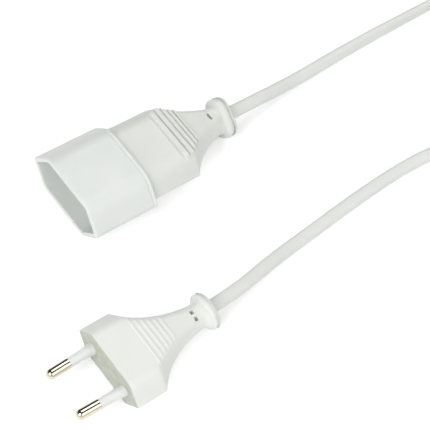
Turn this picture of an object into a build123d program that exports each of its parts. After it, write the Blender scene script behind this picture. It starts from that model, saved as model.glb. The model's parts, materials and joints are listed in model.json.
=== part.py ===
from build123d import *

import os
from math import atan2, cos, exp, pi, radians, sin, tan

# Two pole extension lead: a flat plug with two round pins, a flat socket that takes
# such a plug, and two metres of flat twin cable between them, with its spare length coiled.
# Millimetres. X runs across the socket, Y from its mouth towards its cable, Z up.
# The origin is under the middle of the socket, on the surface that the lead lies on.

# Pins, as the standard for such plugs gives them
pin_diameter = 4.0
pin_length = 19.0
pin_bare_length = 9.0
pin_shank_diameter = 3.0
pin_spacing = 18.6
pin_tip_spacing = 17.5
pin_inner_length = 9.0
sleeve_diameter = 3.6
sleeve_flare_diameter = 4.6
sleeve_flare_length = 5.0
sleeve_inner_length = 2.5

# Crimps and wires, the same at both ends
crimp_diameter = 3.4
crimp_length = 5.0
crimp_wall = 0.5
crimp_reach = 4.0
wire_diameter = 2.2
strand_diameter = 1.1
wire_clearance = 0.1
crimp_bore = strand_diameter + 2 * wire_clearance

# Plug body
plug_width = 35.3
plug_height = 13.7
plug_flat = 23.3
plug_straight = 12.4
plug_funnel = 28.2
plug_flare = 2.5
plug_neck_width = 7.6
plug_neck_height = 8.4
plug_side_round = 0.8
plug_flat_round = 4.5
plug_front_edge = 0.35
plug_collar_width = 15.0
plug_collar_height = 12.0
plug_collar_thickness = 3.4
plug_rib_count = 6
plug_rib_pitch = 2.0
plug_rib_width = 1.25
plug_rib_height = 0.35
plug_rib_start = 13.4
bridge_width = 27.0
bridge_height = 8.5
bridge_round = 2.0

# Socket shell, a sleeve of one wall all round its recess
recess_clearance_width = 1.4
recess_clearance_height = 1.2
recess_clearance_flat = 0.3
recess_depth = 16.0
shell_wall = 1.95
shell_length = 27.4
shell_side_round = 1.8
shell_flat_round = 9.0
shell_mouth_edge = 0.5
shell_rear_edge = 1.3
recess_side_round = 1.0
recess_flat_round = 6.0

# Contact carrier inside the shell, its cap, and the contacts
pin_hole_diameter = 4.5
pin_hole_depth = 2.6
carrier_clearance = 0.1
carrier_shoulder = 11.4
carrier_width = 28.0
carrier_height = 9.6
carrier_round = 2.0
carrier_length = 20.0
cap_thickness = 2.0
contact_diameter = 5.0
contact_setback = 0.3
contact_bore = 3.9
contact_length = 15.0
contact_slot = 0.8
contact_slot_length = 11.0
contact_shank = 5.0

# Socket grip, the soft moulding behind the shell
grip_width = 35.6
grip_height = 15.8
grip_flat = 24.0
grip_straight_end = 49.2
grip_funnel_end = 71.6
grip_flare = 1.9
grip_neck_width = 7.7
grip_neck_height = 9.8
grip_side_round = 1.0
grip_flat_round = 7.0
grip_collar_width = 16.4
grip_collar_height = 13.0
grip_collar_thickness = 4.0
grip_collar_roll = 35.0
grip_rib_height = 0.75
grip_rib_start = 44.8
grip_rib_widths = [2.1, 1.8, 1.3, 1.0, 0.9]
grip_rib_gap = 0.65

# How both mouldings narrow: the neck's section, and where its sections are drawn
neck_flat_ratio = 0.5
neck_side_round = 2.8
neck_flat_round = 3.0
funnel_stations = [0.0, 0.12, 0.26, 0.42, 0.6, 0.8, 1.0]
rib_crest_share = 0.35
rib_inset = 0.4

# Collars, and the openings in the necks that show the cable
collar_flare = 2.0
collar_front_round = 0.8
collar_rear_round = 1.2
window_width = 1.7
window_length = 1.5
window_spacing = 3.8
window_offset = 1.1
window_setback = 5.5
slot_length = 3.4
slot_width = 1.2
slot_setback = 6.1

# Flat cable, where its sheath begins inside each moulding, from the collar's back,
# and how far its first straight run goes from there
cable_width = 5.4
cable_thickness = 3.4
cable_roll = 30.0
sheath_inside = 10.5
cable_lead_in = 19.1
arc_share = 0.45
wire_straight = 2.6
wire_join = 4.0
core_gap = 0.5

# Coil of the spare cable, standing on edge in two layers
coil_turns = 8.5
coil_mean_radius = 30.5
coil_layers = 2
coil_layer_pitch = 5.5
coil_turn_pitch = 3.7
coil_edge_chamfer = 1.0
coil_tail = 21.0
coil_x = 31.0
coil_y = 193.2

# Where the plug lies beside the socket
plug_x = 64.5
plug_y = -63.7

# Worked out from the sizes above
recess_width = plug_width + recess_clearance_width
recess_height = plug_height + recess_clearance_height
recess_flat = plug_flat + recess_clearance_flat
side_angle = atan2(recess_height, recess_width - recess_flat)
shell_width = recess_width + 2 * shell_wall / sin(side_angle)
shell_height = recess_height + 2 * shell_wall
shell_flat = recess_flat + 2 * shell_wall * (1 - cos(side_angle)) / sin(side_angle)
socket_length = grip_funnel_end + grip_collar_thickness
plug_length = plug_straight + plug_funnel + plug_collar_thickness
mouth_y = -socket_length / 2
axis_z = shell_height / 2
plug_axis_z = plug_height / 2 + plug_rib_height
pin_lean = atan2((pin_spacing - pin_tip_spacing) / 2, pin_length)
sheath_y = mouth_y + socket_length - sheath_inside
plug_sheath_y = plug_y + plug_length - sheath_inside
core_offset = (cable_width - cable_thickness + core_gap) / 2

os.makedirs("parts", exist_ok=True)


def across(x, y, z, roll=0.0):
    """A plane that looks along the lead, with its X to the right and its Y up."""
    turn = radians(roll)
    return Plane(origin=(x, y, z), x_dir=(cos(turn), 0, -sin(turn)), z_dir=(0, -1, 0))


def hexagon(width, height, flat, side_round, flat_round):
    """A long hexagon with a flat top and bottom and rounded corners, in the open sketch."""
    half_width, half_flat, half_height = width / 2, flat / 2, height / 2
    outline = Polygon(
        (-half_width, 0),
        (-half_flat, half_height),
        (half_flat, half_height),
        (half_width, 0),
        (half_flat, -half_height),
        (-half_flat, -half_height),
        align=None,
    )
    sides = outline.vertices().filter_by(lambda v: abs(v.Y) < half_height / 2)
    corners = outline.vertices().filter_by(lambda v: abs(v.Y) > half_height / 2)
    fillet(sides, side_round)
    fillet(corners, flat_round)


def cable_outline():
    """The flat cable's section, in the open sketch, with eight sides round its rounded edges."""
    outline = Rectangle(cable_width, cable_thickness)
    chamfer(outline.vertices(), cable_thickness * (1 - sin(pi / 4)))


class Funnel:
    """How a moulding narrows from its body to its neck: t runs from 0 to 1 along it."""

    def __init__(self, width, height, flat, neck_width, neck_height, flare, rounds):
        self.width, self.height, self.flat = width, height, flat
        self.neck_width, self.neck_height, self.flare = neck_width, neck_height, flare
        self.side_round, self.flat_round = rounds

    def width_at(self, t):
        return self.neck_width + (self.width - self.neck_width) * exp(-self.flare * t)

    def height_at(self, t):
        return self.neck_height + (self.height - self.neck_height) * cos(t * pi / 2)

    def flat_at(self, t):
        body_ratio = self.flat / self.width
        return self.width_at(t) * (body_ratio + (neck_flat_ratio - body_ratio) * t)

    def section(self, t):
        """The section at t, drawn in the open sketch."""
        side_round = self.side_round + (neck_side_round - self.side_round) * t
        flat_round = self.flat_round + (neck_flat_round - self.flat_round) * t
        hexagon(self.width_at(t), self.height_at(t), self.flat_at(t), side_round, flat_round)


plug_form = Funnel(
    plug_width,
    plug_height,
    plug_flat,
    plug_neck_width,
    plug_neck_height,
    plug_flare,
    (plug_side_round, plug_flat_round),
)
grip_form = Funnel(
    grip_width,
    grip_height,
    grip_flat,
    grip_neck_width,
    grip_neck_height,
    grip_flare,
    (grip_side_round, grip_flat_round),
)


def moulded_form(form, x, front_y, z, straight, funnel):
    """A straight length and the funnel behind it, added to the open part."""
    with BuildSketch(across(x, front_y, z)) as front:
        form.section(0.0)
    extrude(front.sketch, amount=-straight)
    stations = []
    for t in funnel_stations:
        with BuildSketch(across(x, front_y + straight + t * funnel, z)) as station:
            form.section(t)
        stations.append(station.sketch)
    loft(stations)


def rib_bands(form, x, z, funnel_y, funnel, starts, widths, rise):
    """Bands with sloped crests across the form's flats, which stand above them by rise."""
    with BuildPart() as bands:
        for start, width in zip(starts, widths):
            middle = start + width / 2
            t = max((middle - funnel_y) / funnel, 0.0)
            crest = form.height_at(t) / 2 + rise
            side = Plane(origin=(x, middle, z), x_dir=(0, 1, 0), z_dir=(1, 0, 0))
            with BuildSketch(side):
                band = Rectangle(width, 2 * crest)
                chamfer(band.vertices(), width * rib_crest_share)
            extrude(amount=form.flat_at(t) / 2 - rib_inset, both=True)
    return bands.part


def collar(form, x, front_y, z, width, height, thickness, roll=0.0):
    """The oval collar at the neck's end: it flares out of the neck and has a rounded rim."""
    stations = [
        (-collar_flare, width - form.width_at(1.0), height - form.height_at(1.0)),
        (0.0, 2 * collar_front_round, 2 * collar_front_round),
        (collar_front_round, 0.0, 0.0),
        (thickness - collar_rear_round, 0.0, 0.0),
        (thickness, 2 * collar_rear_round, 2 * collar_rear_round),
    ]
    sections = []
    for along, narrower, lower in stations:
        with BuildSketch(across(x, front_y + along, z, roll)) as section:
            Ellipse((width - narrower) / 2, (height - lower) / 2)
        sections.append(section.sketch)
    with BuildPart() as disc:
        loft(sections, ruled=True)
    return disc.part


def pin_plane(side):
    """A plane along a pin: its origin is where the pin leaves the face, X to the tip."""
    towards_tip = (-side * sin(pin_lean), -cos(pin_lean), 0)
    origin = (plug_x + side * pin_spacing / 2, plug_y, plug_axis_z)
    return Plane(origin=origin, x_dir=towards_tip, z_dir=(0, 0, 1))


def wire_path(crimp_end, end):
    """From a crimp to the sheath: straight, a slant to the middle, and straight again."""
    leave = crimp_end.origin + crimp_end.z_dir * wire_straight
    arrive = Vector(end) - Vector(0, wire_join, 0)
    return Polyline(crimp_end.origin, leave, arrive, Vector(end))


sides = {"left": -1, "right": 1}
colours = {"left": "brown", "right": "blue"}

# Plug: the two pins, each with its insulating sleeve
pins = {}
sleeves = {}
for name, side in sides.items():
    plane = pin_plane(side)
    tip = pin_length
    radius = pin_diameter / 2
    shank = pin_shank_diameter / 2
    crimp = crimp_diameter / 2
    with BuildPart() as pin:
        with BuildSketch(plane):
            with BuildLine():
                Polyline(
                    (tip, 0),
                    (-pin_inner_length - crimp_length, 0),
                    (-pin_inner_length - crimp_length, crimp),
                    (-pin_inner_length, crimp),
                    (-pin_inner_length, shank),
                    (tip - pin_bare_length, shank),
                    (tip - pin_bare_length, radius),
                    (tip - radius, radius),
                )
                RadiusArc((tip - radius, radius), (tip, 0), radius)
            make_face()
        revolve(axis=Axis(plane.origin, plane.x_dir))
        with Locations(Plane(plane.from_local_coords((-pin_inner_length - crimp_length, 0)),
                             z_dir=plane.x_dir)):
            Cylinder(crimp_bore / 2, crimp_length - crimp_wall, mode=Mode.SUBTRACT,
                     align=(Align.CENTER, Align.CENTER, Align.MIN))
    pin.part.label = f"pin_{name}"
    export_step(pin.part, f"parts/pin_{name}.step")
    pins[name] = pin.part

    flare = sleeve_flare_diameter / 2
    outer = sleeve_diameter / 2
    with BuildPart() as sleeve:
        with BuildSketch(plane):
            with BuildLine():
                Polyline(
                    (tip - pin_bare_length, shank),
                    (-sleeve_inner_length, shank),
                    (-sleeve_inner_length, flare),
                    (0, flare),
                    (sleeve_flare_length, outer),
                    (tip - pin_bare_length, outer),
                    (tip - pin_bare_length, shank),
                )
            make_face()
        revolve(axis=Axis(plane.origin, plane.x_dir))
    sleeve.part.label = f"pin_sleeve_{name}"
    export_step(sleeve.part, f"parts/pin_sleeve_{name}.step")
    sleeves[name] = sleeve.part

# Plug: the rigid bridge that holds the pins apart
bridge_length = pin_inner_length - sleeve_inner_length
with BuildPart() as pin_bridge:
    with BuildSketch(across(plug_x, plug_y + sleeve_inner_length, plug_axis_z)):
        RectangleRounded(bridge_width, bridge_height, bridge_round)
    extrude(amount=-bridge_length)
    for name in sides:
        add(pins[name], mode=Mode.SUBTRACT)
        add(sleeves[name], mode=Mode.SUBTRACT)
pin_bridge.part.label = "pin_bridge"
export_step(pin_bridge.part, "parts/pin_bridge.step")


def wire_and_strands(label, crimp_end, end):
    """A wire with its strands, which reach into the crimp; returns the channel it lies in."""
    with BuildPart() as wire:
        with BuildLine() as line:
            wire_path(crimp_end, end)
        with BuildSketch(crimp_end):
            Circle(wire_diameter / 2)
            Circle(strand_diameter / 2, mode=Mode.SUBTRACT)
        sweep(path=line.wires()[0], transition=Transition.RIGHT)
    wire.part.label = f"{label}_wire"
    export_step(wire.part, f"parts/{label}_wire.step")
    with BuildPart() as strands:
        with BuildLine() as line:
            wire_path(crimp_end, end)
        with BuildSketch(crimp_end):
            Circle(strand_diameter / 2)
        sweep(path=line.wires()[0], transition=Transition.RIGHT)
        with BuildSketch(crimp_end):
            Circle(strand_diameter / 2)
        extrude(amount=-crimp_reach)
    strands.part.label = f"{label}_strands"
    export_step(strands.part, f"parts/{label}_strands.step")
    with BuildPart() as channel:
        with BuildLine() as line:
            wire_path(crimp_end, end)
        with BuildSketch(crimp_end):
            Circle(wire_diameter / 2 + wire_clearance)
        sweep(path=line.wires()[0], transition=Transition.RIGHT)
        with BuildSketch(crimp_end):
            Circle(crimp_bore / 2)
        extrude(amount=wire_clearance - crimp_length)
    return channel.part


plug_channels = []
for name, side in sides.items():
    along = pin_plane(side)
    crimp_end = Plane(
        origin=along.from_local_coords((-pin_inner_length - crimp_length, 0, 0)),
        x_dir=(0, 0, 1),
        z_dir=-along.x_dir,
    )
    end = (plug_x + side * core_offset, plug_sheath_y, plug_axis_z)
    plug_channels.append(wire_and_strands(f"plug_{colours[name]}", crimp_end, end))

# Plug: the soft body moulded round all of that
plug_funnel_y = plug_y + plug_straight
rib_starts = [plug_y + plug_rib_start + i * plug_rib_pitch for i in range(plug_rib_count)]
plug_ribs = rib_bands(
    plug_form,
    plug_x,
    plug_axis_z,
    plug_funnel_y,
    plug_funnel,
    rib_starts,
    [plug_rib_width] * plug_rib_count,
    plug_rib_height,
)
plug_collar = collar(
    plug_form,
    plug_x,
    plug_funnel_y + plug_funnel,
    plug_axis_z,
    plug_collar_width,
    plug_collar_height,
    plug_collar_thickness,
)
with BuildPart() as plug_body:
    moulded_form(plug_form, plug_x, plug_y, plug_axis_z, plug_straight, plug_funnel)
    front = plug_body.faces().sort_by(Axis.Y)[0]
    fillet(front.edges(), plug_front_edge)
    add(plug_ribs)
    add(plug_collar)
    add(pin_bridge.part, mode=Mode.SUBTRACT)
    for name in sides:
        add(pins[name], mode=Mode.SUBTRACT)
        add(sleeves[name], mode=Mode.SUBTRACT)
    for channel in plug_channels:
        add(channel, mode=Mode.SUBTRACT)
    with BuildSketch(across(plug_x, plug_sheath_y, plug_axis_z)):
        cable_outline()
    extrude(amount=-sheath_inside, mode=Mode.SUBTRACT)
    window_y = plug_funnel_y + plug_funnel - window_setback
    with BuildSketch(Plane.XY.offset(plug_axis_z)):
        with Locations((plug_x + window_offset, window_y)):
            with GridLocations(window_spacing, 1, 2, 1):
                Rectangle(window_width, window_length)
    extrude(amount=plug_neck_height, both=True, mode=Mode.SUBTRACT)
plug_body.part.label = "plug_body"
export_step(plug_body.part, "parts/plug_body.step")

# Socket: the rigid shell, with the recess through it and a rounded rear edge
with BuildPart() as socket_shell:
    with BuildSketch(across(0, mouth_y, axis_z)):
        hexagon(shell_width, shell_height, shell_flat, shell_side_round, shell_flat_round)
    extrude(amount=-shell_length)
    fillet(socket_shell.faces().sort_by(Axis.Y)[-1].edges(), shell_rear_edge)
    fillet(socket_shell.faces().sort_by(Axis.Y)[0].edges(), shell_mouth_edge)
    with BuildSketch(across(0, mouth_y, axis_z)):
        hexagon(recess_width, recess_height, recess_flat, recess_side_round, recess_flat_round)
    extrude(amount=-shell_length, mode=Mode.SUBTRACT)
socket_shell.part.label = "socket_shell"
export_step(socket_shell.part, "parts/socket_shell.step")

# Socket: the rigid carrier, whose front wall is the bottom of the recess
carrier_y = mouth_y + recess_depth
channel_y = carrier_y + pin_hole_depth
contact_y = channel_y + contact_setback
with BuildPart() as contact_carrier:
    with BuildSketch(across(0, carrier_y, axis_z)):
        hexagon(
            recess_width - 2 * carrier_clearance,
            recess_height - 2 * carrier_clearance,
            recess_flat,
            recess_side_round,
            recess_flat_round,
        )
    extrude(amount=-carrier_shoulder)
    with BuildSketch(across(0, carrier_y + carrier_shoulder, axis_z)):
        RectangleRounded(carrier_width, carrier_height, carrier_round)
    extrude(amount=-(carrier_length - carrier_shoulder))
    for side in sides.values():
        with BuildSketch(across(side * pin_spacing / 2, carrier_y, axis_z)):
            Circle(pin_hole_diameter / 2)
        extrude(amount=-pin_hole_depth, mode=Mode.SUBTRACT)
        with BuildSketch(across(side * pin_spacing / 2, channel_y, axis_z)):
            Circle(contact_diameter / 2 + carrier_clearance)
        extrude(amount=-(carrier_length - pin_hole_depth), mode=Mode.SUBTRACT)
contact_carrier.part.label = "contact_carrier"
export_step(contact_carrier.part, "parts/contact_carrier.step")

# Socket: the cap that closes the carrier behind the contacts
cap_y = carrier_y + carrier_length
with BuildPart() as carrier_cap:
    with BuildSketch(across(0, cap_y, axis_z)):
        RectangleRounded(carrier_width, carrier_height, carrier_round)
        with GridLocations(pin_spacing, 1, 2, 1):
            Circle(pin_shank_diameter / 2, mode=Mode.SUBTRACT)
    extrude(amount=-cap_thickness)
carrier_cap.part.label = "carrier_cap"
export_step(carrier_cap.part, "parts/carrier_cap.step")

# Socket: two sprung contacts, split at the front, solid behind, with a crimp at the back
contact_shank_y = contact_y + contact_length
contact_crimp_y = cap_y + cap_thickness
contacts = {}
for name, side in sides.items():
    contact_x = side * pin_spacing / 2
    with BuildPart() as contact:
        with BuildSketch(across(contact_x, contact_y, axis_z)):
            Circle(contact_diameter / 2)
            Circle(contact_bore / 2, mode=Mode.SUBTRACT)
        extrude(amount=-contact_length)
        with BuildSketch(across(contact_x, contact_y, axis_z)):
            Rectangle(contact_slot, 2 * contact_diameter)
        extrude(amount=-contact_slot_length, mode=Mode.SUBTRACT)
        with BuildSketch(across(contact_x, contact_shank_y, axis_z)):
            Circle(contact_diameter / 2)
        extrude(amount=-(cap_y - contact_shank_y))
        with BuildSketch(across(contact_x, cap_y, axis_z)):
            Circle(pin_shank_diameter / 2)
        extrude(amount=-cap_thickness)
        with BuildSketch(across(contact_x, contact_crimp_y, axis_z)):
            Circle(crimp_diameter / 2)
        extrude(amount=-crimp_length)
        with BuildSketch(across(contact_x, contact_crimp_y + crimp_wall, axis_z)):
            Circle(crimp_bore / 2)
        extrude(amount=-(crimp_length - crimp_wall), mode=Mode.SUBTRACT)
    contact.part.label = f"contact_{name}"
    export_step(contact.part, f"parts/contact_{name}.step")
    contacts[name] = contact.part

socket_channels = []
for name, side in sides.items():
    crimp_end = Plane(
        origin=(side * pin_spacing / 2, contact_crimp_y + crimp_length, axis_z),
        x_dir=(0, 0, 1),
        z_dir=(0, 1, 0),
    )
    core = across(0, sheath_y, axis_z, cable_roll).x_dir * side * core_offset
    end = (core.X, sheath_y, axis_z + core.Z)
    socket_channels.append(wire_and_strands(f"socket_{colours[name]}", crimp_end, end))

# Socket: the soft grip moulded on behind the shell
grip_y = mouth_y + shell_length
grip_funnel_y = mouth_y + grip_straight_end
grip_straight = grip_straight_end - shell_length
grip_funnel = grip_funnel_end - grip_straight_end
rib_starts = []
rib_y = mouth_y + grip_rib_start
for width in grip_rib_widths:
    rib_starts.append(rib_y)
    rib_y += width + grip_rib_gap
grip_ribs = rib_bands(
    grip_form,
    0,
    axis_z,
    grip_funnel_y,
    grip_funnel,
    rib_starts,
    grip_rib_widths,
    grip_rib_height,
)
grip_collar = collar(
    grip_form,
    0,
    grip_funnel_y + grip_funnel,
    axis_z,
    grip_collar_width,
    grip_collar_height,
    grip_collar_thickness,
    grip_collar_roll,
)
with BuildPart() as socket_grip:
    moulded_form(grip_form, 0, grip_y, axis_z, grip_straight, grip_funnel)
    add(grip_ribs)
    add(grip_collar)
    with BuildSketch(across(0, grip_y, axis_z)):
        RectangleRounded(carrier_width, carrier_height, carrier_round)
    extrude(amount=-(contact_crimp_y - grip_y), mode=Mode.SUBTRACT)
    for name in sides:
        add(contacts[name], mode=Mode.SUBTRACT)
    for channel in socket_channels:
        add(channel, mode=Mode.SUBTRACT)
    with BuildSketch(across(0, sheath_y, axis_z, cable_roll)):
        cable_outline()
    extrude(amount=-sheath_inside, mode=Mode.SUBTRACT)
    slot_y = mouth_y + grip_funnel_end - slot_setback
    with BuildSketch(Plane.XY.offset(axis_z)):
        with Locations((0, slot_y)):
            SlotOverall(slot_length, slot_width)
    extrude(amount=grip_neck_height, mode=Mode.SUBTRACT)
socket_grip.part.label = "socket_grip"
export_step(socket_grip.part, "parts/socket_grip.step")

# Cable: the coil as one ring, with a straight tail where each stretch joins it
coil_rows = coil_turns / coil_layers
coil_half_width = (coil_rows * coil_turn_pitch + cable_thickness) / 2
coil_outer = coil_mean_radius + coil_half_width
coil_height = coil_layers * coil_layer_pitch
tail_radius = coil_outer - cable_width / 2
tail_in_z = cable_width / 2
tail_out_z = coil_height - cable_width / 2
tail_end_y = coil_y - coil_tail
with BuildPart() as cord_coil:
    with BuildSketch(Plane.XZ.offset(-coil_y)) as section:
        with Locations((coil_x + coil_mean_radius, coil_height / 2)):
            Rectangle(2 * coil_half_width, coil_height)
        chamfer(section.vertices(), coil_edge_chamfer)
    revolve(axis=Axis((coil_x, coil_y, 0), (0, 0, 1)))
    with BuildSketch(across(coil_x - tail_radius, tail_end_y, tail_in_z, cable_roll)):
        cable_outline()
    extrude(amount=-coil_tail)
    with BuildSketch(across(coil_x + tail_radius, tail_end_y, tail_out_z)):
        cable_outline()
    extrude(amount=-coil_tail)
cord_coil.part.label = "cord_coil"
export_step(cord_coil.part, "parts/cord_coil.step")


def corner_radii(route):
    """For each corner, a share of its shorter run over the tangent of half its turn."""
    radii = []
    points = [Vector(*point) for point in route]
    for before, corner, after in zip(points, points[1:], points[2:]):
        turn = (corner - before).get_angle(after - corner)
        shorter = min((corner - before).length, (after - corner).length)
        radii.append(arc_share * shorter / tan(radians(turn / 2)))
    return radii


# Cable: the stretch from the socket's neck to the coil
socket_route = [
    (0.0, sheath_y, axis_z),
    (0.0, sheath_y + cable_lead_in, axis_z),
    (-2.9, 74.1, 3.5),
    (-4.4, 93.6, 2.7),
    (-5.5, 115.6, 2.72),
    (-6.0, 135.6, 2.7),
    (coil_x - tail_radius, 155.6, 2.7),
    (coil_x - tail_radius, tail_end_y, tail_in_z),
]

# Cable: the stretch from the plug's neck to the coil
plug_route = [
    (plug_x, plug_sheath_y, plug_axis_z),
    (plug_x, plug_sheath_y + cable_lead_in, plug_axis_z),
    (58.6, 18.1, 1.8),
    (57.0, 36.6, 1.7),
    (55.1, 55.6, 1.72),
    (53.7, 75.6, 1.7),
    (53.2, 93.6, 1.9),
    (55.0, 112.6, 2.6),
    (60.6, 131.6, 4.6),
    (66.2, 148.6, 7.2),
    (coil_x + tail_radius, 160.6, tail_out_z),
    (coil_x + tail_radius, tail_end_y, tail_out_z),
]

section_area = cable_width * cable_thickness - 2 * (cable_thickness * (1 - sin(pi / 4))) ** 2
lead_length = 2 * pi * coil_mean_radius * coil_turns + 2 * coil_tail
stretches = (
    ("cord_from_socket", socket_route, cable_roll),
    ("cord_to_plug", plug_route, 0.0),
)
for label, route, roll in stretches:
    radii = corner_radii(route)
    with BuildPart() as tube:
        with BuildLine() as line:
            FilletPolyline(*route, radius=radii)
        with BuildSketch(across(*route[0], roll)):
            cable_outline()
        sweep(path=line.wires()[0])
    length = line.wires()[0].length
    lead_length += length - sheath_inside
    print(label, "radii", [round(r) for r in radii], "length", round(length, 1))
    print("    volume", round(tube.part.volume), "section times length", round(section_area * length))
    tube.part.label = label
    export_step(tube.part, f"parts/{label}.step")
print("lead, from collar to collar", round(lead_length))
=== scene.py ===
import json
from math import atan2, cos, exp, pi, radians, sin, tan

import bpy
from mathutils import Matrix, Vector


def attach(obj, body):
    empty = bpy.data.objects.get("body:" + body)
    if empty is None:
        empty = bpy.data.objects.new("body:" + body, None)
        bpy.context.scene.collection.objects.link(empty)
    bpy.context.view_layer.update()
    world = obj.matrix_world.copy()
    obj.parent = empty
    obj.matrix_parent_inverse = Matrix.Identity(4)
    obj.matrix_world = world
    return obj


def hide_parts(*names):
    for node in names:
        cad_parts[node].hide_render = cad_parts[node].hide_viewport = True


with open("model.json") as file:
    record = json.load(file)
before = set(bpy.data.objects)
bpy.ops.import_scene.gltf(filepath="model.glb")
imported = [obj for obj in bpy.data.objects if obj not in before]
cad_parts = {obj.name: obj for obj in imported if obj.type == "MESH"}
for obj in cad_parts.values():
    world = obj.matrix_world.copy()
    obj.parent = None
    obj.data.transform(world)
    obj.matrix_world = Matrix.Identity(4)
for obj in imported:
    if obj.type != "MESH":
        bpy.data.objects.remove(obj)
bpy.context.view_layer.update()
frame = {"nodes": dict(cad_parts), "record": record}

# A flat two pin extension lead on a white floor. Metres, in the model's own frame:
# X across the socket, Y from its mouth towards its cable, Z up.
MM = 0.001
nodes = frame["nodes"]
scene = bpy.context.scene
scene.view_settings.view_transform = "Standard"


# Camera: where the photograph was taken from, worked out from the plug's standard sizes
PHOTO_PIXELS = 430
PHOTO_FOCAL_PIXELS = 1300
SENSOR_WIDTH = 36.0
CAMERA_PLACE = Vector((203.82, -213.55, 403.00)) * MM
CAMERA_RIGHT = Vector((0.6023, 0.7789, 0.1747))
CAMERA_DOWN = Vector((0.7168, -0.4314, -0.5478))
NEAREST_SEEN = 0.01


def add_camera():
    """The photograph's camera, with no shift and everything in focus."""
    right = CAMERA_RIGHT.normalized()
    back = right.cross(-CAMERA_DOWN).normalized()
    up = back.cross(right)
    data = bpy.data.cameras.new("camera")
    data.sensor_width = SENSOR_WIDTH
    data.lens = PHOTO_FOCAL_PIXELS / PHOTO_PIXELS * SENSOR_WIDTH
    data.clip_start = NEAREST_SEEN
    camera = bpy.data.objects.new("camera", data)
    turn = Matrix((right, up, back)).transposed().to_4x4()
    camera.matrix_world = Matrix.Translation(CAMERA_PLACE) @ turn
    scene.collection.objects.link(camera)
    scene.camera = camera


add_camera()


# Cable: its line, from the socket's neck through the coil to the plug's neck
CABLE_WIDTH = 5.4 * MM
CABLE_THICKNESS = 3.4 * MM
CABLE_EDGE_STEPS = 14
SPLINE_ORDER = 3
SPLINE_STEPS = 12

# The spline's control points on each side of the coil, from inside the neck outwards, in mm
socket_route = [
    (0.0, 27.3, 9.4),
    (0.0, 46.4, 9.4),
    (-2.9, 74.1, 3.5),
    (-4.4, 93.6, 2.7),
    (-5.5, 115.6, 2.72),
    (-6.0, 135.6, 2.7),
    (-6.36, 155.6, 2.7),
    (-6.36, 172.2, 2.7),
]
plug_route = [
    (64.5, -30.2, 7.2),
    (64.5, -11.1, 7.2),
    (58.6, 18.1, 1.8),
    (57.0, 36.6, 1.7),
    (55.1, 55.6, 1.72),
    (53.7, 75.6, 1.7),
    (53.2, 93.6, 1.9),
    (55.0, 112.6, 2.6),
    (60.6, 131.6, 4.6),
    (66.2, 148.6, 7.2),
    (68.36, 160.6, 8.3),
    (68.36, 172.2, 8.3),
]

# Coil: on edge, inwards in the lower layer and outwards again in the upper one, in mm
COIL_CENTRE = (31.0, 193.2)
COIL_OUTER = 38.2
COIL_INNER = 22.7
COIL_TURNS = 8.5
COIL_TURN_POINTS = 16
COIL_LOW = 2.7
COIL_HIGH = 8.2
COIL_CLIMB_TURNS = 0.5


def coil_points():
    """The turns, clockwise from the side of the socket's stretch to that of the plug's."""
    count = round(COIL_TURNS * COIL_TURN_POINTS)
    outwards = 1 / cos(pi / COIL_TURN_POINTS)
    points = []
    for i in range(1, count):
        part = i / count
        angle = pi - part * COIL_TURNS * 2 * pi
        inwards = 1 - abs(1 - 2 * part)
        radius = (COIL_OUTER - (COIL_OUTER - COIL_INNER) * inwards) * outwards
        climb = (part * COIL_TURNS - COIL_TURNS / 2) / COIL_CLIMB_TURNS + 0.5
        climb = min(max(climb, 0.0), 1.0)
        climb = climb * climb * (3 - 2 * climb)
        height = COIL_LOW + (COIL_HIGH - COIL_LOW) * climb
        x = COIL_CENTRE[0] + radius * cos(angle)
        y = COIL_CENTRE[1] + radius * sin(angle)
        points.append((x, y, height))
    return points


def spline_line(points):
    """The line of a NURBS spline with these control points, as a curve with no bevel has it."""
    curve = bpy.data.curves.new("route", "CURVE")
    curve.dimensions = "3D"
    curve.resolution_u = SPLINE_STEPS
    spline = curve.splines.new("NURBS")
    spline.points.add(len(points) - 1)
    for control, point in zip(spline.points, points):
        control.co = (*(Vector(point) * MM), 1.0)
    spline.order_u = SPLINE_ORDER
    spline.use_endpoint_u = True
    holder = bpy.data.objects.new("route", curve)
    scene.collection.objects.link(holder)
    mesh = bpy.data.meshes.new_from_object(holder)
    line = [vertex.co.copy() for vertex in mesh.vertices]
    bpy.data.objects.remove(holder)
    bpy.data.curves.remove(curve)
    bpy.data.meshes.remove(mesh)
    return line


def lengths_along(line):
    """How far each point of a line lies from its start."""
    total = 0.0
    lengths = [0.0]
    for a, b in zip(line, line[1:]):
        total += (b - a).length
        lengths.append(total)
    return lengths


def smooth_between(stations, x):
    """The value at x between stations of (x, value), easing in and out of each."""
    for (x0, v0), (x1, v1) in zip(stations, stations[1:]):
        if x <= x1:
            t = min(max((x - x0) / (x1 - x0), 0.0), 1.0)
            return v0 + (v1 - v0) * t * t * (3 - 2 * t)
    return stations[-1][1]


def cable_section():
    """The flat cable's outline, two half circles and the flats between them."""
    radius = CABLE_THICKNESS / 2
    centre = (CABLE_WIDTH - CABLE_THICKNESS) / 2
    outline = []
    for side, first in ((1, -pi / 2), (-1, pi / 2)):
        for i in range(CABLE_EDGE_STEPS + 1):
            angle = first + pi * i / CABLE_EDGE_STEPS
            outline.append((side * centre + radius * cos(angle), radius * sin(angle)))
    return outline


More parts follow.
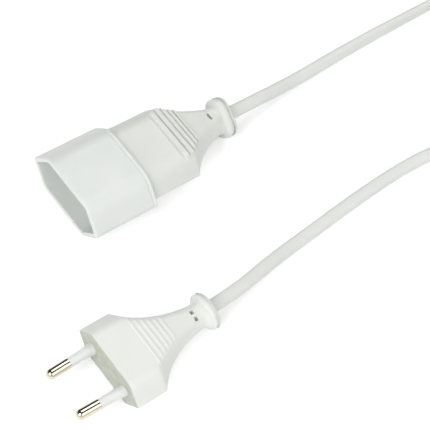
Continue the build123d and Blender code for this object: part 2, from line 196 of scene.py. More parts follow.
def swept_mesh(name, line, outline, rolls):
    """A closed tube of this outline along the line, rolled about it by rolls, with a UV map
    that runs along it in metres and once round it."""
    lengths = lengths_along(line)
    verts = []
    for i, point in enumerate(line):
        ahead = line[min(i + 1, len(line) - 1)] - line[max(i - 1, 0)]
        tangent = ahead.normalized()
        side = tangent.cross(Vector((0, 0, 1))).normalized()
        upward = side.cross(tangent)
        turn = radians(rolls[i])
        across = side * cos(turn) + upward * sin(turn)
        over = upward * cos(turn) - side * sin(turn)
        for u, v in outline:
            verts.append(point + across * u + over * v)
    count = len(outline)
    faces = []
    for i in range(len(line) - 1):
        for j in range(count):
            k = (j + 1) % count
            near, far = i * count, (i + 1) * count
            faces.append((near + k, near + j, far + j, far + k))
    faces.append(tuple(range(count)))
    faces.append(tuple(range(len(verts) - 1, len(verts) - count - 1, -1)))
    mesh = bpy.data.meshes.new(name)
    mesh.from_pydata(verts, [], faces)
    uvs = mesh.uv_layers.new(name="along")
    for face in mesh.polygons:
        for loop in face.loop_indices:
            ring, j = divmod(mesh.loops[loop].vertex_index, count)
            uvs.data[loop].uv = (lengths[ring], j / count)
    mesh.shade_smooth()
    return mesh


def add_piece(name, mesh, material):
    """An object at the origin with this mesh and material, on the lead's one body."""
    mesh.materials.append(material)
    piece = bpy.data.objects.new(name, mesh)
    scene.collection.objects.link(piece)
    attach(piece, "root")
    return piece


# Materials
WHITE = (1.0, 1.0, 1.0, 1.0)
NOISE_LOW, NOISE_HIGH = 0.3, 0.7
LIGHT_INSIDE = (1.0, 0.95, 0.85)
# The sheath's drawn lines: waves along each metre of it, and round it
SHEATH_LINES = (12.0, 26.0, 1.0)


def srgb(red, green, blue):
    """A colour as a screen shows it, 0 to 255, made linear."""
    return tuple((c / 255 / 12.92 if c / 255 <= 0.04045 else ((c / 255 + 0.055) / 1.055) ** 2.4)
                 for c in (red, green, blue)) + (1.0,)


def new_material(name):
    """An empty node material and its Principled shader."""
    material = bpy.data.materials.new(name)
    material.use_nodes = True
    tree = material.node_tree
    tree.nodes.clear()
    shader = tree.nodes.new("ShaderNodeBsdfPrincipled")
    output = tree.nodes.new("ShaderNodeOutputMaterial")
    tree.links.new(shader.outputs["BSDF"], output.inputs["Surface"])
    return material, tree, shader


def object_noise(tree, waves, detail, stretch=(1.0, 1.0, 1.0)):
    """Noise on the piece's own coordinates, in waves per metre."""
    place = tree.nodes.new("ShaderNodeTexCoord")
    mapping = tree.nodes.new("ShaderNodeMapping")
    mapping.inputs["Scale"].default_value = stretch
    noise = tree.nodes.new("ShaderNodeTexNoise")
    noise.inputs["Scale"].default_value = waves
    noise.inputs["Detail"].default_value = detail
    tree.links.new(place.outputs["Object"], mapping.inputs["Vector"])
    tree.links.new(mapping.outputs["Vector"], noise.inputs["Vector"])
    return noise.outputs["Fac"]


def between(tree, factor, low, high):
    """A number that runs from low to high with the factor's middle range."""
    spread = tree.nodes.new("ShaderNodeMapRange")
    spread.inputs["From Min"].default_value = NOISE_LOW
    spread.inputs["From Max"].default_value = NOISE_HIGH
    spread.inputs["To Min"].default_value = low
    spread.inputs["To Max"].default_value = high
    tree.links.new(factor, spread.inputs["Value"])
    return spread.outputs["Result"]


def colours_between(tree, factor, first, second):
    """A colour that runs from first to second with the factor's middle range."""
    ramp = tree.nodes.new("ShaderNodeValToRGB")
    ramp.color_ramp.elements[0].position = NOISE_LOW
    ramp.color_ramp.elements[0].color = first
    ramp.color_ramp.elements[1].position = NOISE_HIGH
    ramp.color_ramp.elements[1].color = second
    tree.links.new(factor, ramp.inputs["Fac"])
    return ramp.outputs["Color"]


def bump(tree, height, distance, under=None):
    """A bump of this many metres, over another where one is given."""
    node = tree.nodes.new("ShaderNodeBump")
    node.inputs["Distance"].default_value = distance
    node.inputs["Strength"].default_value = 1.0
    tree.links.new(height, node.inputs["Height"])
    if under is not None:
        tree.links.new(under, node.inputs["Normal"])
    return node.outputs["Normal"]


def let_light_in(shader, weight, depth):
    """Lets this share of the light into a plastic, to this depth in metres."""
    shader.inputs["Subsurface Weight"].default_value = weight
    shader.inputs["Subsurface Radius"].default_value = LIGHT_INSIDE
    shader.inputs["Subsurface Scale"].default_value = depth


def moulded_plastic(name, first, second, rough, grain, sink, soft=0.0, gloss=0.5):
    """Moulded plastic: its colour drifts slightly, its skin has a fine grain of this depth
    and broad shallow sink marks, and a soft one lets a little light in."""
    material, tree, shader = new_material(name)
    drift = object_noise(tree, waves=55.0, detail=3.0)
    mottle = object_noise(tree, waves=900.0, detail=2.0)
    fine = object_noise(tree, waves=3200.0, detail=2.0)
    broad = object_noise(tree, waves=90.0, detail=1.0)
    tree.links.new(colours_between(tree, drift, first, second), shader.inputs["Base Color"])
    tree.links.new(between(tree, mottle, rough[0], rough[1]), shader.inputs["Roughness"])
    low = bump(tree, broad, sink)
    tree.links.new(bump(tree, fine, grain, under=low), shader.inputs["Normal"])
    shader.inputs["Specular IOR Level"].default_value = gloss
    if soft:
        let_light_in(shader, soft, 1.6 * MM)
    return material


def cable_sheath():
    """Extruded PVC: faint lines along the cable, a slight drift of colour and a soft skin."""
    material, tree, shader = new_material("cable_sheath")
    place = tree.nodes.new("ShaderNodeUVMap")
    place.uv_map = "along"
    mapping = tree.nodes.new("ShaderNodeMapping")
    mapping.inputs["Scale"].default_value = SHEATH_LINES
    lines = tree.nodes.new("ShaderNodeTexNoise")
    lines.inputs["Scale"].default_value = 1.0
    lines.inputs["Detail"].default_value = 3.0
    tree.links.new(place.outputs["UV"], mapping.inputs["Vector"])
    tree.links.new(mapping.outputs["Vector"], lines.inputs["Vector"])
    drift = object_noise(tree, waves=30.0, detail=2.0)
    grain = object_noise(tree, waves=2600.0, detail=2.0)
    colour = colours_between(tree, drift, srgb(224, 226, 221), srgb(229, 231, 226))
    tree.links.new(colour, shader.inputs["Base Color"])
    tree.links.new(between(tree, lines.outputs["Fac"], 0.42, 0.55), shader.inputs["Roughness"])
    drawn = bump(tree, lines.outputs["Fac"], 0.05 * MM)
    tree.links.new(bump(tree, grain, 0.008 * MM, under=drawn), shader.inputs["Normal"])
    let_light_in(shader, 0.12, 1.2 * MM)
    return material


def plated_metal(name, first, second, rough, stretch):
    """Turned metal: faint rings from the tool and a slight drift of tint and polish."""
    material, tree, shader = new_material(name)
    drift = object_noise(tree, waves=400.0, detail=3.0)
    rings = object_noise(tree, waves=1.0, detail=2.0, stretch=stretch)
    tree.links.new(colours_between(tree, drift, first, second), shader.inputs["Base Color"])
    tree.links.new(between(tree, drift, rough[0], rough[1]), shader.inputs["Roughness"])
    tree.links.new(bump(tree, rings, 0.002 * MM), shader.inputs["Normal"])
    shader.inputs["Metallic"].default_value = 1.0
    return material


def paint_front_shade(material, front, depth, shade):
    """Painted shade: multiplies a moulding's colour by shade at its front face, in uneven
    patches, and by less behind it until this depth."""
    tree = material.node_tree
    shader = next(node for node in tree.nodes if node.type == "BSDF_PRINCIPLED")
    clean = shader.inputs["Base Color"].links[0].from_socket
    place = tree.nodes.new("ShaderNodeTexCoord")
    parts = tree.nodes.new("ShaderNodeSeparateXYZ")
    tree.links.new(place.outputs["Object"], parts.inputs["Vector"])
    near = tree.nodes.new("ShaderNodeMapRange")
    near.inputs["From Min"].default_value = front + depth
    near.inputs["From Max"].default_value = front
    near.inputs["To Max"].default_value = 1.0
    tree.links.new(parts.outputs["Y"], near.inputs["Value"])
    patches = between(tree, object_noise(tree, waves=420.0, detail=4.0), 0.72, 1.0)
    amount = tree.nodes.new("ShaderNodeMath")
    amount.operation = "MULTIPLY"
    tree.links.new(near.outputs["Result"], amount.inputs[0])
    tree.links.new(patches, amount.inputs[1])
    mix = tree.nodes.new("ShaderNodeMix")
    mix.data_type = "RGBA"
    mix.blend_type = "MULTIPLY"
    factor, first, second = (s for s in mix.inputs if s.enabled)
    second.default_value = shade
    tree.links.new(amount.outputs["Value"], factor)
    tree.links.new(clean, first)
    result = next(s for s in mix.outputs if s.enabled)
    tree.links.new(result, shader.inputs["Base Color"])


PLUG_PLACE = (64.5, -63.7, 7.2)

materials = {
    "pin": plated_metal(
        "nickel", srgb(210, 203, 183), srgb(223, 217, 200),
        rough=(0.06, 0.1), stretch=(200.0, 9000.0, 200.0)),
    "copper": plated_metal(
        "copper", srgb(206, 132, 92), srgb(222, 152, 110),
        rough=(0.25, 0.35), stretch=(3000.0, 300.0, 3000.0)),
    "contact": plated_metal(
        "brass", srgb(212, 182, 110), srgb(226, 198, 128),
        rough=(0.2, 0.32), stretch=(600.0, 4000.0, 600.0)),
    "sleeve": moulded_plastic(
        "sleeve_plastic", srgb(232, 234, 231), srgb(238, 240, 237),
        rough=(0.34, 0.44), grain=0.004 * MM, sink=0.02 * MM, soft=0.1),
    "bridge": moulded_plastic(
        "bridge_plastic", srgb(206, 206, 200), srgb(214, 214, 208),
        rough=(0.45, 0.55), grain=0.008 * MM, sink=0.02 * MM),
    "brown_insulation": moulded_plastic(
        "brown_pvc", srgb(92, 58, 36), srgb(106, 68, 42),
        rough=(0.4, 0.5), grain=0.006 * MM, sink=0.02 * MM),
    "blue_insulation": moulded_plastic(
        "blue_pvc", srgb(40, 90, 165), srgb(52, 104, 180),
        rough=(0.4, 0.5), grain=0.006 * MM, sink=0.02 * MM),
    "plug_pvc": moulded_plastic(
        "plug_pvc", srgb(230, 232, 227), srgb(235, 237, 232),
        rough=(0.44, 0.56), grain=0.012 * MM, sink=0.08 * MM, soft=0.12),
    "grip_pvc": moulded_plastic(
        "grip_pvc", srgb(220, 223, 217), srgb(226, 229, 223),
        rough=(0.44, 0.56), grain=0.012 * MM, sink=0.08 * MM, soft=0.12),
    "shell_plastic": moulded_plastic(
        "shell_plastic", srgb(223, 227, 224), srgb(229, 232, 229),
        rough=(0.34, 0.37), grain=0.0003 * MM, sink=0.01 * MM, soft=0.2, gloss=0.25),
    "carrier_plastic": moulded_plastic(
        "carrier_plastic", srgb(206, 212, 205), srgb(213, 218, 211),
        rough=(0.4, 0.5), grain=0.008 * MM, sink=0.04 * MM),
}
# Painted shade on the plug's front face: its colour is darkened there in uneven patches
paint_front_shade(materials["plug_pvc"], front=PLUG_PLACE[1] * MM, depth=0.4 * MM,
           shade=srgb(200, 203, 191))

for entry in frame["record"]["subparts"]:
    if entry["material_slot"] in materials:
        shown = nodes[entry["node"]].data
        shown.materials.clear()
        shown.materials.append(materials[entry["material_slot"]])


# Cable: its mesh, and how many degrees it is rolled at so many metres from the socket's end.
# In the coil it lies on its edge
SOCKET_ROLL = -30.0
COIL_ROLL = -90.0
PLUG_ROLL = 0.0

cable_line = spline_line(socket_route + coil_points() + plug_route[::-1])
cable_lengths = lengths_along(cable_line)
cable_total = cable_lengths[-1]
roll_stations = [
    (0.0, SOCKET_ROLL),
    (0.012, SOCKET_ROLL),
    (0.155, COIL_ROLL),
    (cable_total - 0.185, COIL_ROLL),
    (cable_total - 0.140, PLUG_ROLL),
    (cable_total, PLUG_ROLL),
]
cable_rolls = [smooth_between(roll_stations, s) for s in cable_lengths]
cable = add_piece("cable", swept_mesh("cable", cable_line, cable_section(), cable_rolls),
                  cable_sheath())
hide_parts("cord_from_socket", "cord_coil", "cord_to_plug")


# Mouldings: long hexagons with rounded corners, in mm, with the solids' main sizes
CORNER_STEPS = 8
FLAT_STEPS = 26
SIDE_STEPS = 10
LEAST_ROUND = 0.3
CRISPER_BEFORE = 5.0
CRISPER_ALONG = 3.0
LOOPS_APART = 0.5
LOOPS_APART_AT_RIBS = 0.08
COLLAR_STEPS = 16
EDGE_STEPS = 6
SLOT_END_STEPS = 8


class Hexagon:
    """A long hexagon with a flat top and bottom: its sizes and how round its corners are."""

    def __init__(self, width, height, flat, side_round, flat_round):
        self.width, self.height, self.flat = width, height, flat
        self.side_round, self.flat_round = side_round, flat_round

    def inset(self, depth):
        """The same hexagon with each wall moved inwards by depth."""
        slope = atan2(self.height, self.width - self.flat)
        return Hexagon(self.width - 2 * depth / sin(slope), self.height - 2 * depth,
                       self.flat - 2 * depth * tan(slope / 2),
                       max(self.side_round - depth, LEAST_ROUND),
                       max(self.flat_round - depth, LEAST_ROUND))

    def outline(self):
        """Its rounded outline, as points that match those of every other hexagon."""
        w, h, f = self.width / 2, self.height / 2, self.flat / 2
        corners = [(w, 0), (f, h), (-f, h), (-w, 0), (-f, -h), (f, -h)]
        rounds = [self.side_round, self.flat_round, self.flat_round] * 2
        arcs = []
        for i, corner in enumerate(corners):
            here = Vector(corner)
            back = (Vector(corners[i - 1]) - here).normalized()
            ahead = (Vector(corners[(i + 1) % 6]) - here).normalized()
            half = back.angle(ahead) / 2
            middle = here + (back + ahead).normalized() * (rounds[i] / sin(half))
            start = (here + back * (rounds[i] / tan(half)) - middle).normalized()
            end = (here + ahead * (rounds[i] / tan(half)) - middle).normalized()
            arcs.append([middle + start.slerp(end, j / CORNER_STEPS) * rounds[i]
                         for j in range(CORNER_STEPS + 1)])
        points = []
        for i, arc in enumerate(arcs):
            points += arc
            after = arcs[(i + 1) % 6][0]
            steps = FLAT_STEPS if i in (1, 4) else SIDE_STEPS
            for j in range(1, steps):
                share = 0.5 - 0.5 * cos(pi * j / steps)
                points.append(arc[-1].lerp(after, share))
        return points


class Moulding:
    """A soft moulding: a straight hexagonal body whose flats get crisper edges where it
    starts to narrow, then a funnel and a slim neck."""

    def __init__(self, body, neck, flare, crisp, place, straight, funnel):
        self.body, self.neck, self.flare, self.crisp = body, neck, flare, crisp
        self.x, self.y, self.z = place
        self.straight, self.funnel = straight, funnel

    def section(self, along):
        """The hexagon at this distance behind the front."""
        t = min(max((along - self.straight) / self.funnel, 0.0), 1.0)
        body, neck = self.body, self.neck
        width = neck.width + (body.width - neck.width) * exp(-self.flare * t)
        height = neck.height + (body.height - neck.height) * cos(t * pi / 2)
        body_ratio = body.flat / body.width
        flat = width * (body_ratio + (neck.flat / neck.width - body_ratio) * t)
        crisper = (along - self.straight + CRISPER_BEFORE) / CRISPER_ALONG
        crisper = min(max(crisper, 0.0), 1.0)
        flat_round = body.flat_round + (self.crisp - body.flat_round) * crisper
        return Hexagon(width, height, flat,
                       body.side_round + (neck.side_round - body.side_round) * t,
                       flat_round + (neck.flat_round - flat_round) * t)


def oval(points, width, height, roll, squareness):
    """Where the rays through these points meet an oval that is rolled by this angle. It is an
    ellipse with a squareness of 2, and more of a rounded rectangle with more."""
    ring = []
    for point in points:
        angle = atan2(point[1], point[0])
        turned = angle + radians(roll)
        across = abs(cos(turned) * 2 / width) ** squareness
        upward = abs(sin(turned) * 2 / height) ** squareness
        reach = (across + upward) ** (-1 / squareness)
        ring.append(Vector((reach * cos(angle), reach * sin(angle))))
    return ring


class Collar:
    """The collar at a neck's end: its oval, how thick it is and how it flares and rounds."""

    def __init__(self, size, squareness, roll, thickness, flare, hollow, rounds):
        self.width, self.height = size
        self.squareness, self.roll, self.thickness = squareness, roll, thickness
        self.flare, self.hollow = flare, hollow
        self.front_round, self.rear_round = rounds

    def ring(self, points, inset):
        """The collar's outline, moved in by inset, along the rays through these points."""
        return oval(points, self.width - 2 * inset, self.height - 2 * inset, self.roll,
                    self.squareness)


def rounded_edge(depth):
    """A quarter circle from a face to a wall, as pairs of how far in from each it is."""
    for i in range(EDGE_STEPS + 1):
        angle = pi / 2 * i / EDGE_STEPS
        yield depth * (1 - cos(angle)), depth * (1 - sin(angle))


def lofted_mesh(name, loops, ring=False):
    """A skin over matching loops of points, closed by a cap at each end or into a ring."""
    count = len(loops[0])
    verts = [point * MM for loop in loops for point in loop]
    faces = []
    pairs = list(zip(range(len(loops)), range(1, len(loops))))
    if ring:
        pairs.append((len(loops) - 1, 0))
    else:
        faces.append(tuple(range(count)))
        faces.append(tuple(range(len(verts) - 1, len(verts) - count - 1, -1)))
    for near, far in pairs:
        near, far = near * count, far * count
        for j in range(count):
            k = (j + 1) % count
            faces.append((near + k, near + j, far + j, far + k))
    mesh = bpy.data.meshes.new(name)
    mesh.from_pydata(verts, [], faces)
    return mesh


def placed(points, x, y, z):
    """Points of a section, set upright at this place along the lead."""
    return [Vector((x + point[0], y, z + point[1])) for point in points]


def moulding_loops(form, front_edge, ribs_from, ribs_to, collar):
    """The loops of a moulding's skin, close together where its ribs are."""
    stations = []
    for inwards, back in rounded_edge(front_edge):
        stations.append((form.section(0).inset(back).outline(), inwards))
    along = stations[-1][1]
    end = form.straight + form.funnel
    while along < end - collar.flare:
        step = LOOPS_APART_AT_RIBS if ribs_from <= along < ribs_to else LOOPS_APART
        if along < ribs_from < along + step:
            step = ribs_from - along
        along = min(along + step, end - collar.flare)
        stations.append((form.section(along).outline(), along))
    neck = form.section(end).outline()
    for i in range(1, COLLAR_STEPS + 1):
        share = i / COLLAR_STEPS
        here = form.section(end - collar.flare * (1 - share)).outline()
        rim = collar.ring(neck, collar.front_round)
        points = [a.lerp(b, share ** collar.hollow) for a, b in zip(here, rim)]
        stations.append((points, end - collar.flare * (1 - share)))
    for inwards, back in list(rounded_edge(collar.front_round))[1:]:
        stations.append((collar.ring(neck, back), end + inwards))
    for back, inwards in list(rounded_edge(collar.rear_round))[::-1]:
        stations.append((collar.ring(neck, back), end + collar.thickness - inwards))
    stations.append((collar.ring(neck, collar.height / 4), end + collar.thickness))
    return [placed(points, form.x, form.y + y, form.z) for points, y in stations]


# Ribs: raised bands across a moulding's two flats, which shrink by one ratio along it, with a
# narrow groove at the front foot of each
RIB_EASING = 0.4
RIB_INPUTS = ("First Rib", "First Pitch", "Shrink", "Count", "Share", "Rise", "Edge", "Inset",
              "Groove Width", "Groove Depth")


def ribs_tree():
    """Lifts the flats in each band and sinks them in each groove, on both faces. Its sizes are
    named inputs, in metres, and Share is the part of its pitch that a rib takes up."""
    tree = bpy.data.node_groups.new("ribs", "GeometryNodeTree")
    tree.interface.new_socket("Geometry", in_out="INPUT", socket_type="NodeSocketGeometry")
    for name in RIB_INPUTS:
        tree.interface.new_socket(name, in_out="INPUT", socket_type="NodeSocketFloat")
    tree.interface.new_socket("Material", in_out="INPUT", socket_type="NodeSocketMaterial")
    tree.interface.new_socket("Geometry", in_out="OUTPUT", socket_type="NodeSocketGeometry")
    given = tree.nodes.new("NodeGroupInput").outputs

    def stored(name):
        node = tree.nodes.new("GeometryNodeInputNamedAttribute")
        node.data_type = "FLOAT"
        node.inputs["Name"].default_value = name
        return node.outputs["Attribute"]

    def maths(operation, *values):
        node = tree.nodes.new("ShaderNodeMath")
        node.operation = operation
        for socket, value in zip(node.inputs, values):
            if isinstance(value, (int, float)):
                socket.default_value = value
            else:
                tree.links.new(value, socket)
        return node.outputs["Value"]

    def ramp(value, low, high):
        share = maths("DIVIDE", maths("SUBTRACT", value, low), maths("SUBTRACT", high, low))
        return maths("SMOOTH_MIN", maths("MAXIMUM", share, 0.0), 1.0, RIB_EASING)

    # The band that a point is in, from the sum of shrinking pitches, and how far into it.
    # Anything further forward counts as a millimetre before the first rib
    gone = maths("MAXIMUM", maths("SUBTRACT", stored("along"), given["First Rib"]), -0.001)
    left = maths("SUBTRACT", 1.0, maths("DIVIDE", maths("MULTIPLY", gone, maths(
        "SUBTRACT", 1.0, given["Shrink"])), given["First Pitch"]))
    above_zero = maths("MAXIMUM", left, 0.001)
    index = maths("LOGARITHM", above_zero, given["Shrink"])
    part = maths("FRACT", index)
    pitch = maths("MULTIPLY", given["First Pitch"], maths(
        "POWER", given["Shrink"], maths("FLOOR", index)))
    from_front = maths("MULTIPLY", part, pitch)
    from_back = maths("MULTIPLY", maths("SUBTRACT", given["Share"], part), pitch)
    crest = maths("MULTIPLY", ramp(from_front, 0.0, given["Edge"]),
                  ramp(from_back, 0.0, given["Edge"]))
    in_row = maths("MULTIPLY", maths("GREATER_THAN", index, 0.0),
                   maths("LESS_THAN", index, given["Count"]))
    row_end = maths("SUBTRACT", stored("reach"), given["Inset"])
    from_end = maths("SUBTRACT", row_end, stored("aside"))
    raised = maths("MULTIPLY", maths("MULTIPLY", crest, in_row), given["Rise"])

    # The groove at the front foot of the next rib, and none after the last rib
    to_next = maths("MULTIPLY", maths("SUBTRACT", 1.0, part), pitch)
    half = maths("MULTIPLY", given["Groove Width"], 0.5)
    off_middle = maths("ABSOLUTE", maths("SUBTRACT", to_next, half))
    dip = maths("MAXIMUM", maths("SUBTRACT", 1.0, maths("DIVIDE", off_middle, half)), 0.0)
    by_ribs = maths("LESS_THAN", index, maths("SUBTRACT", given["Count"], 0.9))
    sunk = maths("MULTIPLY", maths("MULTIPLY", dip, by_ribs), given["Groove Depth"])
    level = maths("MULTIPLY", maths("SUBTRACT", raised, sunk),
                  ramp(from_end, 0.0, given["Edge"]))
    lift = maths("MULTIPLY", level, stored("face"))
    offset = tree.nodes.new("ShaderNodeCombineXYZ")
    tree.links.new(lift, offset.inputs["Z"])
    move = tree.nodes.new("GeometryNodeSetPosition")
    tree.links.new(given["Geometry"], move.inputs["Geometry"])
    tree.links.new(offset.outputs["Vector"], move.inputs["Offset"])
    realize = tree.nodes.new("GeometryNodeRealizeInstances")
    tree.links.new(move.outputs["Geometry"], realize.inputs["Geometry"])
    finish = tree.nodes.new("GeometryNodeSetMaterial")
    tree.links.new(realize.outputs["Geometry"], finish.inputs["Geometry"])
    tree.links.new(given["Material"], finish.inputs["Material"])
    result = tree.nodes.new("NodeGroupOutput")
    tree.links.new(finish.outputs["Geometry"], result.inputs["Geometry"])
    return tree


def store_rib_facts(mesh, form):
    """Keeps, for each point, what the ribs need to know of the moulding's form there."""
    facts = {name: [] for name in ("along", "aside", "reach", "face")}
    for vertex in mesh.vertices:
        x, y, z = vertex.co / MM - Vector((form.x, form.y, form.z))
        section = form.section(y)
        facts["along"].append(y * MM)
        facts["aside"].append(abs(x) * MM)
        facts["reach"].append(section.flat / 2 * MM)
        facts["face"].append(1.0 if z > 0 else -1.0)
    for name, values in facts.items():
        layer = mesh.attributes.new(name, "FLOAT", "POINT")
        layer.data.foreach_set("value", values)


def plain_mesh(holder, name):
    """The evaluated mesh of an object with modifiers, which is then removed."""
    depsgraph = bpy.context.evaluated_depsgraph_get()
    mesh = bpy.data.meshes.new_from_object(holder.evaluated_get(depsgraph))
    mesh.name = name
    old = holder.data
    bpy.data.objects.remove(holder)
    bpy.data.meshes.remove(old)
    return mesh


def ribbed(mesh, tree, sizes, material):
    """The mesh with ribs of these sizes raised on it."""
    name = mesh.name
    holder = bpy.data.objects.new(name, mesh)
    scene.collection.objects.link(holder)
    modifier = holder.modifiers.new("ribs", "NODES")
    modifier.node_group = tree
    values = dict(sizes, Material=material)
    for item in tree.interface.items_tree:
        if item.in_out == "INPUT" and item.name in values:
            modifier[item.identifier] = values[item.name]
    return plain_mesh(holder, name)


def cut_out(mesh, outlines, low, high):
    """The mesh with an upright hole through each outline, from low to high, in mm."""
    name = mesh.name
    verts, faces = [], []
    for outline in outlines:
        first, count = len(verts), len(outline)
        verts += [Vector((x, y, z)) * MM for z in (low, high) for x, y in outline]
        faces.append(tuple(range(first + count - 1, first - 1, -1)))
        faces.append(tuple(range(first + count, first + 2 * count)))
        for i in range(count):
            j = (i + 1) % count
            faces.append((first + i, first + j, first + count + j, first + count + i))
    tool_mesh = bpy.data.meshes.new("cutter")
    tool_mesh.from_pydata(verts, [], faces)
    tool = bpy.data.objects.new("cutter", tool_mesh)
    holder = bpy.data.objects.new(name, mesh)
    for piece in (tool, holder):
        scene.collection.objects.link(piece)
    modifier = holder.modifiers.new("cut", "BOOLEAN")
    modifier.operation = "DIFFERENCE"
    modifier.solver = "EXACT"
    modifier.object = tool
    result = plain_mesh(holder, name)
    bpy.data.objects.remove(tool)
    bpy.data.meshes.remove(tool_mesh)
    return result


def smooth_but_for_edges(mesh, angle):
    """Smooth shading, with edges left sharp that turn more than this many degrees."""
    mesh.shade_smooth()
    mesh.set_sharp_from_angle(angle=radians(angle))


def rectangle(x, y, width, length):
    """A rectangle's corners, seen from above."""
    w, l = width / 2, length / 2
    return [(x - w, y - l), (x + w, y - l), (x + w, y + l), (x - w, y + l)]


def slot(x, y, length, width):
    """A slot with round ends that runs across, seen from above."""
    radius, reach = width / 2, (length - width) / 2
    points = []
    for side, first in ((1, -pi / 2), (-1, pi / 2)):
        for i in range(SLOT_END_STEPS + 1):
            angle = first + pi * i / SLOT_END_STEPS
            points.append((x + side * reach + radius * cos(angle), y + radius * sin(angle)))
    return points


ribs = ribs_tree()
MOULDING_EDGE_DEGREES = 75
SHELL_EDGE_DEGREES = 60

# Plug body: six low ridges, and two windows in its neck that show the cable
PLUG = Moulding(
    body=Hexagon(width=35.3, height=13.7, flat=23.3, side_round=0.45, flat_round=4.5),
    neck=Hexagon(width=7.6, height=8.4, flat=3.8, side_round=2.8, flat_round=3.0),
    flare=2.5, crisp=4.5, place=PLUG_PLACE, straight=12.4, funnel=28.2)
PLUG_COLLAR = Collar(
    size=(15.0, 12.0), squareness=2.0, roll=0.0, thickness=3.4, flare=3.4, hollow=2.2,
    rounds=(1.1, 1.2))
WINDOWS_MIDDLE = 65.4
WINDOW_OFFSET = 1.35
WINDOW_Y = -28.25
WINDOW_SIZE = (1.5, 1.4)

plug_mesh = lofted_mesh("plug_moulding", moulding_loops(
    PLUG, front_edge=0.5, ribs_from=13.2, ribs_to=25.4, collar=PLUG_COLLAR))
store_rib_facts(plug_mesh, PLUG)
plug_mesh = ribbed(plug_mesh, ribs, {
    "First Rib": 13.4 * MM, "First Pitch": 2.02 * MM, "Shrink": 0.996, "Count": 6.0,
    "Share": 0.62, "Rise": 0.24 * MM, "Edge": 0.45 * MM, "Inset": -0.6 * MM,
    "Groove Width": 0.3 * MM, "Groove Depth": 0.04 * MM,
}, materials["plug_pvc"])
windows = [rectangle(WINDOWS_MIDDLE + side * WINDOW_OFFSET, WINDOW_Y, *WINDOW_SIZE)
           for side in (-1, 1)]
plug_mesh = cut_out(plug_mesh, windows, low=0.0, high=15.0)
smooth_but_for_edges(plug_mesh, MOULDING_EDGE_DEGREES)
plug_moulding = add_piece("plug_moulding", plug_mesh, materials["plug_pvc"])
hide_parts("plug_body")

# Socket grip: five bands that get narrower towards its neck, and a slot beside the collar
GRIP = Moulding(
    body=Hexagon(width=35.6, height=15.8, flat=24.0, side_round=1.0, flat_round=7.0),
    neck=Hexagon(width=7.7, height=9.8, flat=3.85, side_round=2.8, flat_round=3.0),
    flare=1.9, crisp=1.5, place=(0.0, -10.4, 9.4), straight=21.8, funnel=21.4)
GRIP_COLLAR = Collar(
    size=(16.4, 13.0), squareness=3.0, roll=35.0, thickness=5.0, flare=3.4, hollow=2.6,
    rounds=(2.0, 1.6))

grip_mesh = lofted_mesh("socket_moulding", moulding_loops(
    GRIP, front_edge=0.3, ribs_from=16.8, ribs_to=28.2, collar=GRIP_COLLAR))
store_rib_facts(grip_mesh, GRIP)
grip_mesh = ribbed(grip_mesh, ribs, {
    "First Rib": 17.4 * MM, "First Pitch": 2.75 * MM, "Shrink": 0.855, "Count": 5.0,
    "Share": 0.76, "Rise": 0.85 * MM, "Edge": 0.14 * MM, "Inset": -0.25 * MM,
    "Groove Width": 0.5 * MM, "Groove Depth": 0.4 * MM,
}, materials["grip_pvc"])
grip_slot = slot(x=0.2, y=28.1, length=3.3, width=1.25)
grip_mesh = cut_out(grip_mesh, [grip_slot], low=9.4, high=20.0)
smooth_but_for_edges(grip_mesh, MOULDING_EDGE_DEGREES)
socket_moulding = add_piece("socket_moulding", grip_mesh, materials["grip_pvc"])
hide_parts("socket_grip")

# Socket shell: one wall all round, with a rounded rim, a fine groove and a rounded rear edge
RECESS = Hexagon(width=36.7, height=14.9, flat=23.6, side_round=1.0, flat_round=2.2)
SHELL_WALL = 1.95
SHELL = RECESS.inset(-SHELL_WALL)
SHELL.side_round, SHELL.flat_round = 1.8, 9.0
SHELL_PLACE = (0.0, -37.8, 9.4)
SHELL_LENGTH = 27.4
SHELL_REAR_ROUND = 0.35
SHELL_RIM_ROUND = 0.6
RECESS_RIM_ROUND = 0.3

# How deep each loop of the groove is, and how far before the rear face
SHELL_GROOVE = ((0.0, 1.1), (0.35, 1.4), (0.35, 1.5), (0.0, 1.8), (0.0, 1.95))


def shell_loops():
    """Loops from the rear face over the outside, round the rim and back along the recess. The
    extra ones beside the rim keep the shading even there."""
    stations = []
    for back, inwards in list(rounded_edge(SHELL_REAR_ROUND))[::-1]:
        stations.append((SHELL.inset(back), SHELL_LENGTH - inwards))
    for depth, front in SHELL_GROOVE:
        stations.append((SHELL.inset(depth), SHELL_LENGTH - front))
    stations.append((SHELL, SHELL_LENGTH * 0.5))
    stations.append((SHELL, 0.8))
    for inwards, back in list(rounded_edge(SHELL_RIM_ROUND))[::-1]:
        stations.append((SHELL.inset(back), inwards))
    for back, inwards in list(rounded_edge(RECESS_RIM_ROUND))[::-1]:
        stations.append((RECESS.inset(-back), inwards))
    stations.append((RECESS, 0.5))
    stations.append((RECESS, SHELL_LENGTH * 0.5))
    stations.append((RECESS, SHELL_LENGTH))
    x, y, z = SHELL_PLACE
    return [placed(section.outline(), x, y + along, z) for section, along in stations]


shell_mesh = lofted_mesh("shell_moulding", shell_loops()[::-1], ring=True)
smooth_but_for_edges(shell_mesh, SHELL_EDGE_DEGREES)
shell_moulding = add_piece("shell_moulding", shell_mesh, materials["shell_plastic"])
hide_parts("socket_shell")


# Floor: white to the camera, and it still takes a faint shadow
lead_middle = (0.03, 0.05, 0.0)
FLOOR_SIZE = 1.7
FLOOR_GREY = (0.82, 0.82, 0.82, 1.0)
FLOOR_GLOW = 0.4


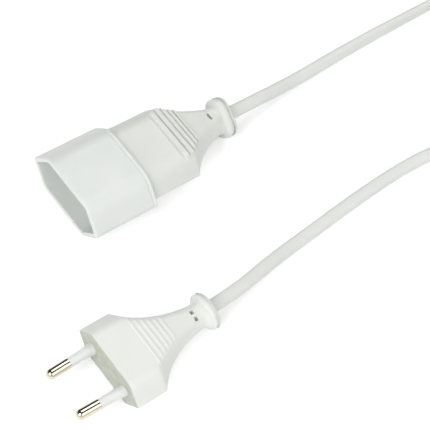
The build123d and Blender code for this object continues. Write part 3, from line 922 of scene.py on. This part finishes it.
def add_floor():
    """A plain pale floor that glows just enough to reach white in the camera and in
    reflections."""
    mesh = bpy.data.meshes.new("floor")
    half = FLOOR_SIZE / 2
    x, y = lead_middle[:2]
    corners = [(x - half, y - half, 0), (x + half, y - half, 0),
               (x + half, y + half, 0), (x - half, y + half, 0)]
    mesh.from_pydata(corners, [], [(0, 1, 2, 3)])
    material, tree, shader = new_material("floor")
    shader.inputs["Base Color"].default_value = FLOOR_GREY
    shader.inputs["Roughness"].default_value = 0.9
    shader.inputs["Specular IOR Level"].default_value = 0.0
    rays = tree.nodes.new("ShaderNodeLightPath")
    seen = tree.nodes.new("ShaderNodeMath")
    seen.operation = "MAXIMUM"
    tree.links.new(rays.outputs["Is Camera Ray"], seen.inputs[0])
    tree.links.new(rays.outputs["Is Glossy Ray"], seen.inputs[1])
    glow = tree.nodes.new("ShaderNodeMath")
    glow.operation = "MULTIPLY"
    glow.inputs[1].default_value = FLOOR_GLOW
    tree.links.new(seen.outputs[0], glow.inputs[0])
    tree.links.new(glow.outputs[0], shader.inputs["Emission Strength"])
    shader.inputs["Emission Color"].default_value = WHITE
    mesh.materials.append(material)
    floor = bpy.data.objects.new("floor", mesh)
    scene.collection.objects.link(floor)


add_floor()


# Light: three broad soft lamps, and a pale room that is dark overhead
LAMPS = (
    # Name, place, size and power
    ("key_lamp", (0.75, 0.15, 0.8), 0.8, 3.4),
    ("front_lamp", (0.12, -0.82, 0.84), 0.8, 7.9),
    ("back_lamp", (-0.4, 0.6, 1.0), 0.9, 6.6),
)
ROOM_STRENGTH = 0.8
ROOM_DARK = (0.06, 0.06, 0.06, 1.0)
ROOM_WHITE_BELOW = 0.18
ROOM_DARK_ABOVE = 0.4
ROOM_TILTS = (("X", -0.28), ("Y", 0.25))


def add_lamp(name, place, target, size, power):
    """A square soft lamp at place that faces target."""
    data = bpy.data.lights.new(name, "AREA")
    data.shape = "SQUARE"
    data.size = size
    data.energy = power
    lamp = bpy.data.objects.new(name, data)
    lamp.location = place
    lamp.rotation_euler = (Vector(target) - Vector(place)).to_track_quat("-Z", "Y").to_euler()
    scene.collection.objects.link(lamp)


def add_room():
    """A pale room that is dark overhead, less so on the right and in front, so that the metal
    has something to reflect, and plain white to the camera."""
    world = bpy.data.worlds.new("room")
    scene.world = world
    world.use_nodes = True
    tree = world.node_tree
    tree.nodes.clear()
    place = tree.nodes.new("ShaderNodeTexCoord")
    parts = tree.nodes.new("ShaderNodeSeparateXYZ")
    ramp = tree.nodes.new("ShaderNodeValToRGB")
    ramp.color_ramp.elements[0].position = ROOM_WHITE_BELOW
    ramp.color_ramp.elements[0].color = WHITE
    ramp.color_ramp.elements[1].position = ROOM_DARK_ABOVE
    ramp.color_ramp.elements[1].color = ROOM_DARK
    background = tree.nodes.new("ShaderNodeBackground")
    background.inputs["Strength"].default_value = ROOM_STRENGTH
    output = tree.nodes.new("ShaderNodeOutputWorld")
    tree.links.new(place.outputs["Generated"], parts.inputs["Vector"])
    height = parts.outputs["Z"]
    for axis, tilt in ROOM_TILTS:
        tilted = tree.nodes.new("ShaderNodeMath")
        tilted.operation = "MULTIPLY_ADD"
        tilted.inputs[1].default_value = tilt
        tree.links.new(parts.outputs[axis], tilted.inputs[0])
        tree.links.new(height, tilted.inputs[2])
        height = tilted.outputs["Value"]
    tree.links.new(height, ramp.inputs["Fac"])
    white = tree.nodes.new("ShaderNodeBackground")
    rays = tree.nodes.new("ShaderNodeLightPath")
    seen = tree.nodes.new("ShaderNodeMixShader")
    tree.links.new(ramp.outputs["Color"], background.inputs["Color"])
    white.inputs["Color"].default_value = WHITE
    tree.links.new(rays.outputs["Is Camera Ray"], seen.inputs[0])
    tree.links.new(background.outputs["Background"], seen.inputs[1])
    tree.links.new(white.outputs["Background"], seen.inputs[2])
    tree.links.new(seen.outputs["Shader"], output.inputs["Surface"])


add_room()
for name, place, size, power in LAMPS:
    add_lamp(name, place, lead_middle, size, power)
